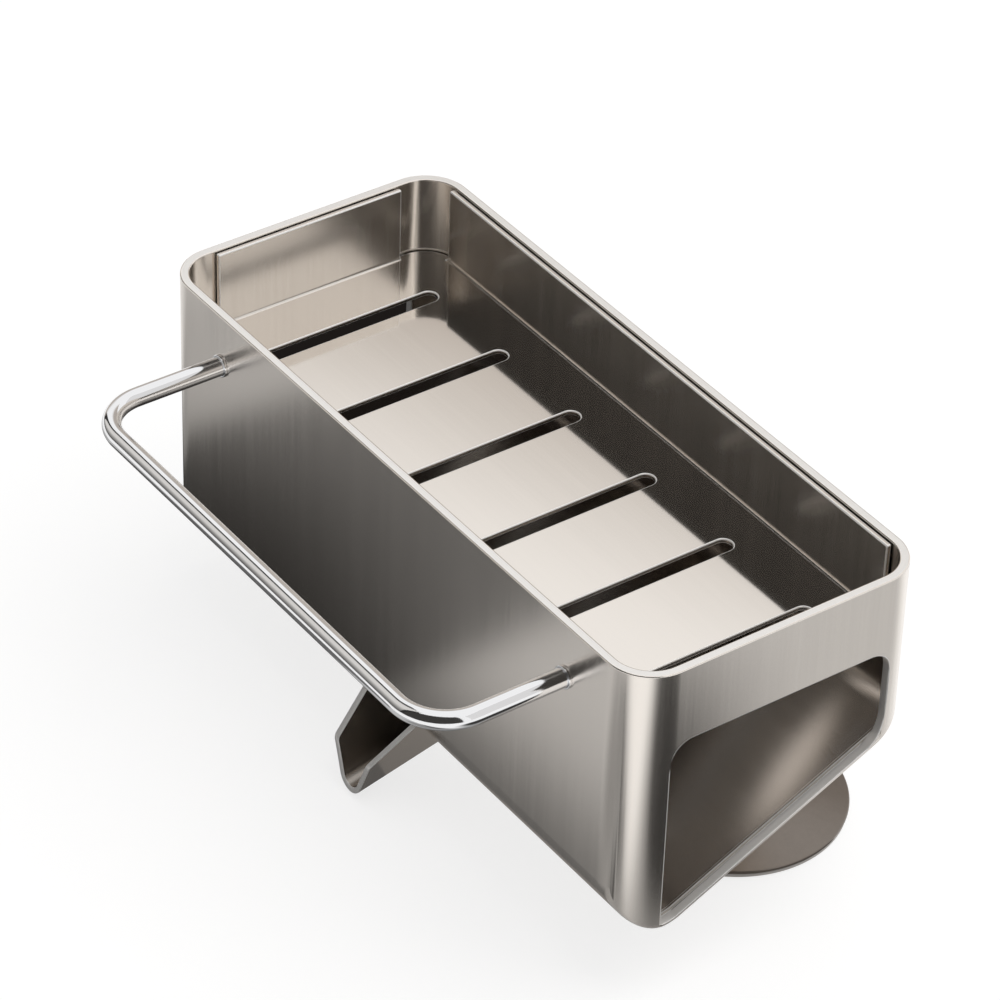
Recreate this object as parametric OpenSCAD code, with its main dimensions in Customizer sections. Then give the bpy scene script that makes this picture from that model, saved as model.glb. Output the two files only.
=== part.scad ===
// Sponge holder for the edge of a kitchen sink: a deep stainless body with a
// sloping drip floor and a spout, a slotted lift-out tray, a towel bar at the
// front and two round feet at the back. Millimetres, +Z up. The origin lies on
// the table in the middle of the whole outline, and the spout points to -Y.

/* [Body] */
// Length of the body from end to end
body_length = 235; // [215:1:270]
// Depth of the body from the front wall's face to the back wall's face
body_depth = 98.5; // [94:0.5:110]
// Height of the rim above the table
rim_height = 115; // [110:1:130]
// Thickness of the body's walls
wall = 2.8; // [2.4:0.1:3.2]
// Outer radius of the upright corners
corner_radius = 14; // [13.6:0.1:16]
// Outer radius of the lower edges at front and back
lower_radius = 13.4; // [11:0.1:13.5]

/* [Drip floor] */
// Height of the floor's lowest line above the table, on its underside
floor_height = 25.5; // [23:0.5:28]
// Distance from the rim down to the floor's upper end at the back wall
floor_drop = 42.7; // [40:0.1:46]
// Thickness of the floor sheet
floor_sheet = 1; // [0.8:0.1:1.4]
// Height of the small dam that stands on the floor at each open end
dam_height = 1.2; // [0.8:0.1:2]
// Width of the opening that drains the floor into the spout
drain_width = 14; // [10:0.5:15]

/* [Windows] */
// Distance from the rim down to the end windows' top edge
window_drop = 25; // [20:1:30]
// Distance from the front wall's face to a window's front edge
window_front = 12.5; // [11:0.5:16]
// Width of a window from its front edge to its back edge
window_width = 74.7; // [66:0.1:76]
// Radius of a window's upper corners
window_radius = 7; // [4:0.5:10]
// Radius of a window's lower back corner
window_back_radius = 12.4; // [8:0.2:14]

/* [Spout] */
// Reach of the spout in front of the front wall
spout_reach = 11.5; // [8:0.5:16]
// Height of the spout's lowest point above the table
spout_clearance = 1.5; // [1:0.5:3]
// Thickness of the spout sheet
spout_sheet = 1.8; // [1.4:0.1:2.2]
// Outer radius of the spout's bottom
spout_radius = 5.5; // [5:0.25:7]
// Lean of the spout's side walls out of the vertical
spout_draft = 21.5; // [16:0.5:24]
// Angle at which the spout's bottom falls
spout_slope = 13; // [10:1:16]
// Angle at which the spout's top edges fall
spout_edge_slope = 42; // [38:1:46]
// Height of the spout's walls at its mouth
spout_mouth = 14; // [12:0.5:16]
// Radius of the upper corner of the spout's mouth
spout_lip_radius = 3; // [1:0.5:4]

/* [Slotted tray] */
// Thickness of the tray sheet
tray_sheet = 1.6; // [1.2:0.1:2]
// Height of the back and left-hand flanges above the tray's floor
tray_depth = 24.8; // [20:0.2:28]
// Height of the front and right-hand flanges above the tray's floor
low_flange = 21; // [14:0.5:22]
// Distance from the rim down to the top edges of the tray
tray_drop = 0.5; // [0:0.1:2]
// Clearance between the tray and the body's walls all round
tray_gap = 0.5; // [0.4:0.1:1]
// Length of the front and back flanges
long_flange = 209; // [190:1:212]
// Length of the end flanges
end_flange = 65; // [55:1:70]
// Number of slots in the tray's floor
slot_count = 6; // [4:1:7]
// Distance from one slot to the next
slot_pitch = 36.5; // [28:0.5:36.5]
// Width of a slot
slot_width = 5.6; // [5:0.2:8]
// Length of a slot
slot_length = 62; // [50:0.5:70]
// Radius of the floor's corners
tray_corner = 10.7; // [9:0.1:12]
// Radius inside the bends between the tray's floor and its flanges
tray_bend = 1; // [0.6:0.1:2]
// Width of the ledges that carry the tray
ledge_width = 8; // [6:0.5:10]
// Height of the ledges
ledge_height = 6; // [5:0.5:8]
// Length of the ledges
ledge_length = 160; // [120:1:180]
// Thickness of the ledges
ledge_sheet = 1.2; // [1:0.1:1.6]

/* [Towel bar] */
// Reach of the bar's front face in front of the front wall
bar_reach = 46.5; // [42:0.5:60]
// Distance between the middles of the bar's two legs
bar_span = 170.8; // [150:0.2:180]
// Distance from the rim down to the bar's axis
bar_drop = 17.3; // [14:0.1:20]
// Diameter of the bar
bar_diameter = 5.8; // [5.4:0.1:8]
// Radius of the bar's two bends, on its axis
bar_bend = 15; // [10:0.5:22]
// Diameter of the collars round the bar's ends
collar_diameter = 7; // [6.8:0.1:9]
// Length of the collars
collar_length = 0.8; // [0.6:0.1:4]

/* [Feet] */
// Diameter of a foot
foot_diameter = 70; // [66:1:74]
// Reach of the feet behind the back wall
foot_overhang = 17; // [15:0.5:20]
// Distance between the middles of the two feet
foot_spacing = 123.5; // [100:0.5:140]
// Thickness of the pad under a foot
pad_thickness = 1.2; // [1:0.1:2]
// Thickness of the foot's steel at its rim
foot_edge = 1.2; // [1:0.1:2]
// Rise of the foot's domed top from its rim inwards
foot_dome = 4; // [2:0.5:6]
// Radius of the hollow curve between the dome and the post
foot_flare = 5; // [3:0.5:7]
// Diameter of the post between a foot and the floor
post_diameter = 19; // [16:0.5:19]

/* [Screws] */
// Diameter of the screws that hold the towel bar
bar_screw = 3; // [2.5:0.1:3]
// Length of the towel bar's screws
bar_screw_length = 12; // [8:0.5:16]
// Diameter of the screws that hold the feet
foot_screw = 5; // [4:0.1:6]
// Length of the feet's screws under their heads
foot_screw_length = 22; // [16:0.5:26]

/* [Hidden] */
$fn = 96;

// How far a cut runs past the face that it opens
overrun = 1;
// How far inside a curve the flat face starts that runs on from it
crease = 0.02;
// Fit of a screw's thread or of the bar in a bore, all round
fit_gap = 0.05;
// Clearance of a screw's shank in a plate, all round
shank_gap = 0.15;

// Where the front and back walls stand
overall_depth = bar_reach + body_depth + foot_overhang;
front_face = bar_reach - overall_depth / 2;

// Lower outline of the body, measured back from the front wall's face: the floor
// is tangent to one circle at the front and to one at the back
front_centre = [lower_radius, floor_height + lower_radius];
back_centre = [body_depth - lower_radius, rim_height - floor_drop];
floor_slope = atan2(back_centre[1] - front_centre[1], back_centre[0] - front_centre[0]);
front_tangent = front_centre + lower_radius * [sin(floor_slope), -cos(floor_slope)];
function underside(back) = front_tangent[1] + (back - front_tangent[0]) * tan(floor_slope);

// Window corners
window_top = rim_height - window_drop;
window_back = window_front + window_width;
window_back_centre = [
    window_back - window_back_radius,
    underside(window_back - window_back_radius)
        + (floor_sheet + window_back_radius - crease) / cos(floor_slope)
];
window_back_tangent = window_back_centre
    + window_back_radius * [sin(floor_slope), -cos(floor_slope)];

// Inside of the body and the tray in it
cavity_length = body_length - 2 * wall;
cavity_depth = body_depth - 2 * wall;
tray_length = cavity_length - 2 * tray_gap;
tray_width = cavity_depth - 2 * tray_gap;
tray_top = rim_height - tray_drop;
tray_floor_top = tray_top - tray_depth;
tray_rest = tray_floor_top - tray_sheet;
tray_outer_bend = tray_bend + tray_sheet;

// Spout: its own frame runs along its bottom, from the mouth backwards
spout_lip_lean = 1;
spout_length = 44;
spout_back_radius = 9;
spout_back_reach = 36.5;
drain_radius = drain_width / 4;
drain_back = front_tangent[0];
drain_top = floor_height + lower_radius / 4;

// Towel bar
bar_height = rim_height - bar_drop;
bar_radius = bar_diameter / 2;
bar_axis = front_face - bar_reach + bar_radius;
leg_place = bar_span / 2;
bar_screw_head = 2 * bar_screw;
bar_screw_cone = bar_screw_head / 2 - bar_screw / 2;
bar_bore_depth = bar_screw_length - wall + overrun;
drive_width = bar_screw / 2;
drive_depth = bar_screw_cone / 2;

// Feet
foot_place = foot_spacing / 2;
foot_centre = front_face + body_depth + foot_overhang - foot_diameter / 2;
pad_inset = 0.4;
foot_bottom = pad_thickness;
foot_dome_top = foot_bottom + foot_edge + foot_dome;
foot_hub_top = foot_dome_top + foot_flare;
hub_radius = post_diameter / 2;
head_height_share = 0.6;
head_radius_share = 0.85;
socket_share = 0.33;
washer_share = 0.2;
screw_head_height = foot_screw * head_height_share;
screw_head_radius = foot_screw * head_radius_share;
socket_radius = foot_screw * socket_share;
washer_radius = foot_screw;
washer_thickness = foot_screw * washer_share;
well_radius = washer_radius + fit_gap;
well_top = foot_dome_top - foot_dome / 2;
foot_screw_tip = well_top - washer_thickness + foot_screw_length;
foot_bore_depth = foot_screw_tip + overrun - foot_hub_top;

// Colours as the photograph shows them
steel = [0.70, 0.68, 0.66];
dark_steel = [0.45, 0.43, 0.41];
bright_chrome = [0.85, 0.85, 0.86];
silicone = [0.80, 0.78, 0.76];

// A flat shape in depth and height, drawn out along the length
module along_length(length) {
    rotate([90, 0, 90])
        linear_extrude(length, center = true)
            children();
}

// Places a shape that is drawn from the front wall's face backwards
module behind_front() {
    translate([0, front_face, 0])
        children();
}

// The body's outline seen from above, drawn in by an inset
module plan(inset) {
    length = body_length - 2 * inset;
    depth = body_depth - 2 * inset;
    radius = corner_radius - inset;
    translate([0, body_depth / 2]) {
        square([length, depth - 2 * radius], center = true);
        square([length - 2 * radius, depth], center = true);
        for (side = [-1, 1], end = [-1, 1])
            translate([end * (length / 2 - radius), side * (depth / 2 - radius)])
                circle(r = radius);
    }
}

// The body's side view, drawn in by an inset below and at front and back
module side(inset) {
    radius = lower_radius - inset;
    under = (radius - crease) * [sin(floor_slope), -cos(floor_slope)];
    polygon([
        [inset, front_centre[1]],
        front_centre,
        front_centre + under,
        back_centre + under,
        back_centre,
        [body_depth - inset, back_centre[1]],
        [body_depth - inset, rim_height],
        [inset, rim_height]
    ]);
    translate(front_centre)
        circle(r = radius);
    translate(back_centre)
        circle(r = radius);
}

// The bent floor sheet in side view
module floor_side(outer, inner) {
    intersection() {
        difference() {
            side(outer);
            side(inner);
        }
        polygon([
            [-overrun, 0],
            [body_depth + overrun, 0],
            [body_depth + overrun, back_centre[1]],
            back_centre,
            front_centre,
            [-overrun, front_centre[1]]
        ]);
    }
}

// One end window in side view, open down to the floor
module window_side() {
    polygon([
        [window_front, floor_height],
        [front_tangent[0], floor_height],
        window_back_tangent - [0, 2 * floor_sheet],
        window_back_tangent,
        window_back_centre,
        [window_back, window_back_centre[1]],
        [window_back, window_top - window_radius],
        [window_back - window_radius, window_top],
        [window_front + window_radius, window_top],
        [window_front, window_top - window_radius]
    ]);
    translate([window_front + window_radius, window_top - window_radius])
        circle(r = window_radius);
    translate([window_back - window_radius, window_top - window_radius])
        circle(r = window_radius);
    translate(window_back_centre)
        circle(r = window_back_radius);
}

module outer_shell() {
    color(steel)
    behind_front()
    difference() {
        intersection() {
            linear_extrude(rim_height)
                plan(0);
            along_length(body_length)
                difference() {
                    side(0);
                    floor_side(0, floor_sheet);
                }
        }
        translate([0, 0, -overrun])
            linear_extrude(rim_height + 2 * overrun)
                plan(wall);
        along_length(body_length + 2 * overrun)
            window_side();
        for (end = [-1, 1])
            translate([end * leg_place, 0, bar_height])
                rotate([-90, 0, 0]) {
                    translate([0, 0, -overrun])
                        cylinder(h = wall + 2 * overrun, r = bar_screw / 2 + shank_gap);
                    translate([0, 0, wall - bar_screw_cone])
                        cylinder(
                            h = bar_screw_cone,
                            r1 = bar_screw / 2,
                            r2 = bar_screw_head / 2
                        );
                }
    }
}

module drip_floor() {
    color(dark_steel)
    behind_front()
    difference() {
        intersection() {
            linear_extrude(rim_height)
                rounded_ends();
            union() {
                along_length(body_length)
                    floor_side(0, floor_sheet);
                for (end = [-1, 1])
                    translate([end * (cavity_length / 2 - floor_sheet / 2), 0, 0])
                        along_length(floor_sheet)
                            dam_side();
            }
        }
        drain_cut();
    }
}

// The outline's rounded ends, open past the front and back faces between them
module rounded_ends() {
    plan(0);
    translate([0, body_depth / 2])
        square([body_length - 2 * corner_radius, body_depth + 2 * overrun], center = true);
}

// The low dam that keeps the water off the floor's open ends
module dam_side() {
    intersection() {
        floor_side(floor_sheet / 2, floor_sheet + dam_height);
        translate([window_front, 0])
            square([window_width, rim_height]);
    }
}

// The opening at the floor's lowest line
module drain_cut() {
    translate([0, -overrun, 0])
        linear_extrude(drain_top) {
            translate([-drain_width / 2, 0])
                square([drain_width, drain_back + overrun - drain_radius]);
            translate([drain_radius - drain_width / 2, 0])
                square([drain_width - 2 * drain_radius, drain_back + overrun]);
            for (end = [-1, 1])
                translate([
                    end * (drain_width / 2 - drain_radius),
                    drain_back + overrun - drain_radius
                ])
                    circle(r = drain_radius);
        }
}

// The spout's channel in section, drawn in by an inset
module channel_section(inset) {
    radius = spout_radius - inset;
    touch = (radius - crease) * [cos(spout_draft), -sin(spout_draft)];
    top = spout_length;
    reach = touch[0] + (top - touch[1]) * tan(spout_draft);
    translate([0, spout_radius]) {
        circle(r = radius);
        polygon([
            [touch[0], touch[1]],
            [reach, top],
            [-reach, top],
            [-touch[0], touch[1]]
        ]);
    }
}

// The spout's side view in its own frame, with a rounded lip above the mouth and
// closed at the back by a round end
module channel_side(inset, past) {
    lip = [spout_lip_lean + spout_mouth * sin(spout_slope) - past, spout_mouth + past];
    back = spout_back_reach - inset;
    bottom = inset - overrun;
    lean = atan2(lip[1] - bottom, lip[0] + past);
    rise = spout_edge_slope - spout_slope;
    cut = spout_lip_radius * tan((lean - rise) / 2);
    along = [cos(lean), sin(lean)];
    across = [sin(lean), -cos(lean)];
    lip_centre = lip - cut * along + spout_lip_radius * across;
    lip_touch = spout_lip_radius - crease;
    centre = [spout_back_reach, 0] + spout_back_radius * [-1, 1] - [0, overrun];
    polygon([
        [-past, bottom],
        [centre[0], bottom],
        centre,
        [back, centre[1]],
        [back, lip[1] + (back - lip[0]) * tan(rise)],
        lip_centre + lip_touch * [-sin(rise), cos(rise)],
        lip_centre,
        lip_centre - lip_touch * across
    ]);
    translate(lip_centre)
        circle(r = spout_lip_radius);
    translate(centre)
        circle(r = spout_back_radius - inset);
}

module drain_spout() {
    color(dark_steel)
    behind_front()
    difference() {
        translate([0, -spout_reach, spout_clearance])
            rotate([spout_slope, 0, 0])
                difference() {
                    channel(0, 0);
                    channel(spout_sheet, overrun);
                }
        along_length(body_length)
            side(0);
    }
}

// One solid channel, as wide as its section and as long as its side view
module channel(inset, past) {
    intersection() {
        translate([0, spout_length, 0])
            rotate([90, 0, 0])
                linear_extrude(spout_length + past)
                    channel_section(inset);
        along_length(spout_length * 2)
            channel_side(inset, past);
    }
}

// An angle strip along a wall, drawn from the wall's inner face
module ledge() {
    along_length(ledge_length) {
        translate([0, tray_rest - ledge_sheet])
            square([ledge_width, ledge_sheet]);
        translate([0, tray_rest - ledge_height])
            square([ledge_sheet, ledge_height]);
    }
}

module front_ledge() {
    color(steel)
    translate([0, front_face + wall, 0])
        ledge();
}

module rear_ledge() {
    color(steel)
    translate([0, front_face + body_depth - wall, 0])
        mirror([0, 1, 0])
            ledge();
}

module towel_bar() {
    straight = bar_span - 2 * bar_bend;
    leg = front_face - bar_axis - bar_bend;
    color(bright_chrome)
    translate([0, bar_axis, bar_height])
    difference() {
        union() {
            rotate([0, 90, 0])
                cylinder(h = straight, r = bar_radius, center = true);
            for (end = [0, 1])
                mirror([end, 0, 0]) {
                    translate([straight / 2, bar_bend, 0])
                        rotate([0, 0, -90])
                            rotate_extrude(angle = 90)
                                translate([bar_bend, 0])
                                    circle(r = bar_radius);
                    translate([leg_place, bar_bend, 0])
                        rotate([-90, 0, 0])
                            cylinder(h = leg, r = bar_radius);
                }
        }
        for (end = [-1, 1])
            translate([end * leg_place, bar_bend + leg - bar_bore_depth, 0])
                rotate([-90, 0, 0])
                    cylinder(h = bar_bore_depth + overrun, r = bar_screw / 2 + fit_gap);
    }
}

module bar_collars() {
    color(bright_chrome)
    for (end = [-1, 1])
        translate([end * leg_place, front_face, bar_height])
            rotate([90, 0, 0])
                difference() {
                    cylinder(h = collar_length, r = collar_diameter / 2);
                    translate([0, 0, -overrun])
                        cylinder(h = collar_length + 2 * overrun, r = bar_radius + fit_gap);
                }
}

// A countersunk screw with a hexagon socket, head face at the origin, pointing down
module countersunk_screw() {
    difference() {
        union() {
            translate([0, 0, -bar_screw_cone])
                cylinder(h = bar_screw_cone, r1 = bar_screw / 2, r2 = bar_screw_head / 2);
            translate([0, 0, -bar_screw_length])
                cylinder(h = bar_screw_length, r = bar_screw / 2);
        }
        translate([0, 0, -drive_depth])
            cylinder(h = drive_depth + overrun, r = drive_width / 2, $fn = 6);
    }
}

module bar_screws() {
    color(steel)
    for (end = [-1, 1])
        translate([end * leg_place, front_face + wall, bar_height])
            rotate([-90, 0, 0])
                countersunk_screw();
}

// A round post whose top is mitred to the sloping floor
module foot_post() {
    difference() {
        translate([0, foot_centre, foot_hub_top])
            cylinder(h = rim_height - foot_hub_top, r = hub_radius);
        behind_front()
            along_length(body_length)
                side(0);
        translate([0, foot_centre, foot_hub_top - overrun])
            cylinder(h = foot_bore_depth + overrun, r = foot_screw / 2 + fit_gap);
    }
}

module left_foot_post() {
    color(steel)
    translate([-foot_place, 0, 0])
        foot_post();
}

module right_foot_post() {
    color(steel)
    translate([foot_place, 0, 0])
        foot_post();
}

// A turned foot: a shallow dome that rises to the post in a hollow curve
module foot_base() {
    radius = foot_diameter / 2;
    neck = hub_radius + foot_flare;
    translate([0, foot_centre, 0])
        rotate_extrude()
            difference() {
                polygon([
                    [0, foot_bottom],
                    [radius, foot_bottom],
                    [radius, foot_bottom + foot_edge],
                    [neck, foot_dome_top],
                    [neck, foot_hub_top],
                    [0, foot_hub_top]
                ]);
                translate([neck, foot_hub_top])
                    circle(r = foot_flare);
                translate([0, foot_bottom - overrun])
                    square([well_radius, well_top - foot_bottom + overrun]);
                square([foot_screw / 2 + shank_gap, foot_hub_top + overrun]);
            }
}

module left_foot_base() {
    color(dark_steel)
    translate([-foot_place, 0, 0])
        foot_base();
}

module right_foot_base() {
    color(dark_steel)
    translate([foot_place, 0, 0])
        foot_base();
}

// A pad with a hole that leaves the screw free
module foot_pad() {
    translate([0, foot_centre, 0])
        difference() {
            cylinder(h = pad_thickness, r = foot_diameter / 2 - pad_inset);
            translate([0, 0, -overrun])
                cylinder(h = pad_thickness + 2 * overrun, r = well_radius);
        }
}

module left_foot_pad() {
    color(silicone)
    translate([-foot_place, 0, 0])
        foot_pad();
}

module right_foot_pad() {
    color(silicone)
    translate([foot_place, 0, 0])
        foot_pad();
}

// A round-headed screw with a hexagon socket, under its head at the origin, pointing up
module foot_screw_solid() {
    difference() {
        union() {
            cylinder(h = foot_screw_length, r = foot_screw / 2);
            translate([0, 0, -screw_head_height])
                cylinder(h = screw_head_height, r = screw_head_radius);
        }
        translate([0, 0, -screw_head_height - overrun])
            cylinder(h = screw_head_height / 2 + overrun, r = socket_radius, $fn = 6);
    }
}

module foot_screws() {
    color(steel)
    for (end = [-1, 1])
        translate([end * foot_place, foot_centre, well_top - washer_thickness])
            foot_screw_solid();
}

module foot_washers() {
    color(steel)
    for (end = [-1, 1])
        translate([end * foot_place, foot_centre, well_top - washer_thickness])
            difference() {
                cylinder(h = washer_thickness, r = washer_radius);
                translate([0, 0, -overrun])
                    cylinder(
                        h = washer_thickness + 2 * overrun,
                        r = foot_screw / 2 + shank_gap
                    );
            }
}

// The tray's floor seen from above, without the strips that its bends take up
module tray_plan() {
    difference() {
        union() {
            square([tray_length, tray_width - 2 * tray_corner], center = true);
            square([tray_length - 2 * tray_corner, tray_width], center = true);
            for (side = [-1, 1], end = [-1, 1])
                translate([
                    end * (tray_length / 2 - tray_corner),
                    side * (tray_width / 2 - tray_corner)
                ])
                    circle(r = tray_corner);
        }
        for (side = [-1, 1])
            translate([0, side * tray_width / 2])
                square([long_flange, 2 * tray_outer_bend], center = true);
        for (end = [-1, 1])
            translate([end * tray_length / 2, 0])
                square([2 * tray_outer_bend, end_flange], center = true);
        for (slot = [0 : slot_count - 1])
            translate([(slot - (slot_count - 1) / 2) * slot_pitch, 0])
                slot_plan();
    }
}

// One slot with round ends
module slot_plan() {
    straight = slot_length - slot_width;
    square([slot_width, straight], center = true);
    for (side = [-1, 1])
        translate([0, side * straight / 2])
            circle(d = slot_width);
}

// A bend and its flange in section, from the floor's edge at the left
module flange_section(height) {
    translate([0, tray_outer_bend])
        intersection() {
            difference() {
                circle(r = tray_outer_bend);
                circle(r = tray_bend);
            }
            translate([0, -tray_outer_bend])
                square(tray_outer_bend);
        }
    translate([tray_bend, tray_outer_bend])
        square([tray_sheet, tray_sheet + height - tray_outer_bend]);
}

// A flange of one length, running along Y, its outer face at the tray's edge
module flange(length, height, reach) {
    translate([reach - tray_outer_bend, 0, tray_rest])
        rotate([90, 0, 0])
            linear_extrude(length, center = true)
                flange_section(height);
}

module slotted_tray() {
    color(steel)
    translate([0, front_face + body_depth / 2, 0]) {
        translate([0, 0, tray_rest])
            linear_extrude(tray_sheet)
                tray_plan();
        flange(end_flange, low_flange, tray_length / 2);
        rotate([0, 0, 90])
            flange(long_flange, tray_depth, tray_width / 2);
        rotate([0, 0, 180])
            flange(end_flange, tray_depth, tray_length / 2);
        rotate([0, 0, 270])
            flange(long_flange, low_flange, tray_width / 2);
    }
}

outer_shell();
drip_floor();
drain_spout();
front_ledge();
rear_ledge();
towel_bar();
bar_collars();
bar_screws();
left_foot_post();
right_foot_post();
left_foot_base();
right_foot_base();
left_foot_pad();
right_foot_pad();
foot_screws();
foot_washers();
slotted_tray();
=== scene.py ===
import math
from typing import NamedTuple

import bmesh
import bpy
from mathutils import Matrix, Vector
from mathutils.bvhtree import BVHTree


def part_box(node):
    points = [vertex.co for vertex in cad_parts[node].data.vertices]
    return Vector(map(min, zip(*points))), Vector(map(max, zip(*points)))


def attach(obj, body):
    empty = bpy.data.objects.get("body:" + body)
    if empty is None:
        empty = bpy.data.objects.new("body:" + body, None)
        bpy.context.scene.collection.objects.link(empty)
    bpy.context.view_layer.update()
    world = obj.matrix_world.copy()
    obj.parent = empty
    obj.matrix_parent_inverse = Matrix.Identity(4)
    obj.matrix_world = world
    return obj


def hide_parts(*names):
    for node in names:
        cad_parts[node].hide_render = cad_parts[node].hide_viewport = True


bl_info = {
    "name": "Sink Sponge Holder",
    "version": (1, 0, 0),
    "blender": (4, 5, 0),
    "location": "View3D > Sidebar > Sponge Holder",
    "description": "Dresses a sponge holder with a slotted tray and a towel bar",
    "category": "Add Mesh",
}

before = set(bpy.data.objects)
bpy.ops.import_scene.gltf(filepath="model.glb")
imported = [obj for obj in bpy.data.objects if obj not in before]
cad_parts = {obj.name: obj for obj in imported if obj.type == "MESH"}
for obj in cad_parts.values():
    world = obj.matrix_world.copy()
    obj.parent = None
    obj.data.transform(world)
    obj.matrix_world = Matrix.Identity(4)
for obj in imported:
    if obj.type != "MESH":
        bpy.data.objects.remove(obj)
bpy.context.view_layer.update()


# Sizes and limits that several pieces share

MM = 0.001
# Thickness of the body's walls
WALL = 2.8 * MM
# A face this close to a wall's or the rim's place counts as lying there
NEAR = 0.1 * MM
# Points of a CAD node closer than this are one point
ONE_POINT = 0.03 * MM
# An edge shorter than this has no length
NO_LENGTH = 0.001 * MM
# Neighbours that turn by less than this are one flat face
FLAT_TURN = math.radians(0.4)
# Edges that turn by more than this are broken, in this number of steps
SHARP_TURN = math.radians(30)
BREAK_STEPS = 2
# An edge this close to its neighbour's solid is a closed seam
SEAM_GAP = 0.06 * MM
# Points of the tray's floor and flanges closer than this are joined
TRAY_GAP = 0.01 * MM
# Space between a collar's inside and the bar
COLLAR_FIT = 0.05 * MM
# Steps in a rounded corner or a bend of the tray, and in the bar's and collars' curves
ARC_STEPS = 12
BAR_BEND_STEPS = 24
BAR_ROUND_STEPS = 48
COLLAR_ROUND_STEPS = 64
COLLAR_EDGE_STEPS = 3
# Depth of the grain in the metals and in the pads
METAL_GRAIN = 0.02 * MM
PAD_GRAIN = 0.03 * MM
# Places of a piece's materials: of its faces, of its broken edges, and a third
FACES, EDGES, OTHER = 0, 1, 2
# Sockets of the colours in a Mix node, and of its result
MIX_FIRST, MIX_SECOND, MIX_RESULT = 6, 7, 2
WHITE = (1.0, 1.0, 1.0, 1.0)


# Settings

COLOUR = {"subtype": "COLOR", "size": 3, "min": 0.0, "max": 1.0}
LENGTH = {"subtype": "DISTANCE", "unit": "LENGTH"}


class FinishSettings(bpy.types.PropertyGroup):
    """Colours of the metals and the pads, and the width of the broken edges"""

    body_colour: bpy.props.FloatVectorProperty(
        name="Body Colour",
        description="Colour of the brushed steel of the body",
        default=(0.90, 0.845, 0.785),
        **COLOUR,
    )
    tray_colour: bpy.props.FloatVectorProperty(
        name="Tray Colour",
        description="Colour of the satin steel of the tray",
        default=(0.86, 0.81, 0.755),
        **COLOUR,
    )
    floor_colour: bpy.props.FloatVectorProperty(
        name="Floor Colour",
        description="Colour of the glossy steel of the drip floor and under the spout",
        default=(0.72, 0.67, 0.62),
        **COLOUR,
    )
    # The spout's darker colour is painted shade: its channel lies in the shade under
    # the body
    spout_shade_colour: bpy.props.FloatVectorProperty(
        name="Spout Colour",
        description="Colour of the darker steel inside the spout",
        default=(0.36, 0.33, 0.30),
        **COLOUR,
    )
    # The feet's dark colour is partly their darker turned steel and partly painted
    # shade from the body above them
    foot_colour_and_shade: bpy.props.FloatVectorProperty(
        name="Foot Colour",
        description="Colour of the turned steel feet",
        default=(0.24, 0.21, 0.185),
        **COLOUR,
    )
    chrome_colour: bpy.props.FloatVectorProperty(
        name="Chrome Colour",
        description="Colour of the polished towel bar",
        default=(0.86, 0.86, 0.87),
        **COLOUR,
    )
    # The edges' pale colour is partly their own cut finish and partly painted highlight
    edge_colour_and_highlight: bpy.props.FloatVectorProperty(
        name="Edge Colour",
        description="Colour of the cut and broken edges of the sheet steel",
        default=(0.93, 0.91, 0.885),
        **COLOUR,
    )
    screw_colour: bpy.props.FloatVectorProperty(
        name="Screw Colour",
        description="Colour of the screws and washers",
        default=(0.55, 0.54, 0.53),
        **COLOUR,
    )
    pad_colour: bpy.props.FloatVectorProperty(
        name="Pad Colour",
        description="Colour of the silicone pads under the feet",
        default=(0.60, 0.57, 0.54),
        **COLOUR,
    )
    edge_radius: bpy.props.FloatProperty(
        name="Edge Radius",
        description="Radius of the broken edges of the sheet steel",
        min=0.05 * MM,
        max=1.0 * MM,
        default=0.4 * MM,
        **LENGTH,
    )


class TraySettings(bpy.types.PropertyGroup):
    """Sizes of the tray and its row of slots"""

    sheet: bpy.props.FloatProperty(
        name="Sheet",
        description="Thickness of the tray's sheet",
        default=1.6 * MM,
        **LENGTH,
    )
    bend: bpy.props.FloatProperty(
        name="Bend",
        description="Radius inside the bends between the floor and the flanges",
        default=1.0 * MM,
        **LENGTH,
    )
    corner: bpy.props.FloatProperty(
        name="Corner",
        description="Radius of the floor's four corners",
        default=10.7 * MM,
        **LENGTH,
    )
    tall_flange: bpy.props.FloatProperty(
        name="Tall Flange",
        description="Height of the back and left-hand flanges above the floor",
        default=24.8 * MM,
        **LENGTH,
    )
    low_flange: bpy.props.FloatProperty(
        name="Low Flange",
        description="Height of the front and right-hand flanges above the floor",
        default=21.0 * MM,
        **LENGTH,
    )
    long_side: bpy.props.FloatProperty(
        name="Long Side",
        description="Length of the front and back flanges",
        default=209.0 * MM,
        **LENGTH,
    )
    short_side: bpy.props.FloatProperty(
        name="Short Side",
        description="Length of the end flanges",
        default=65.0 * MM,
        **LENGTH,
    )
    slots: bpy.props.IntProperty(
        name="Slots",
        description="Number of slots in the floor",
        min=1,
        max=7,
        default=6,
    )
    slot_pitch: bpy.props.FloatProperty(
        name="Slot Pitch",
        description="Distance from one slot to the next",
        default=36.5 * MM,
        **LENGTH,
    )
    slot_width: bpy.props.FloatProperty(
        name="Slot Width",
        description="Width of a slot",
        default=5.6 * MM,
        **LENGTH,
    )
    slot_length: bpy.props.FloatProperty(
        name="Slot Length",
        description="Length of a slot",
        default=62.0 * MM,
        **LENGTH,
    )


class BarSettings(bpy.types.PropertyGroup):
    """Sizes of the towel bar"""

    diameter: bpy.props.FloatProperty(
        name="Diameter",
        description="Diameter of the bar",
        default=5.8 * MM,
        **LENGTH,
    )
    bend: bpy.props.FloatProperty(
        name="Bend Radius",
        description="Radius of the two bends on the bar's axis",
        default=15.0 * MM,
        **LENGTH,
    )


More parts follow.
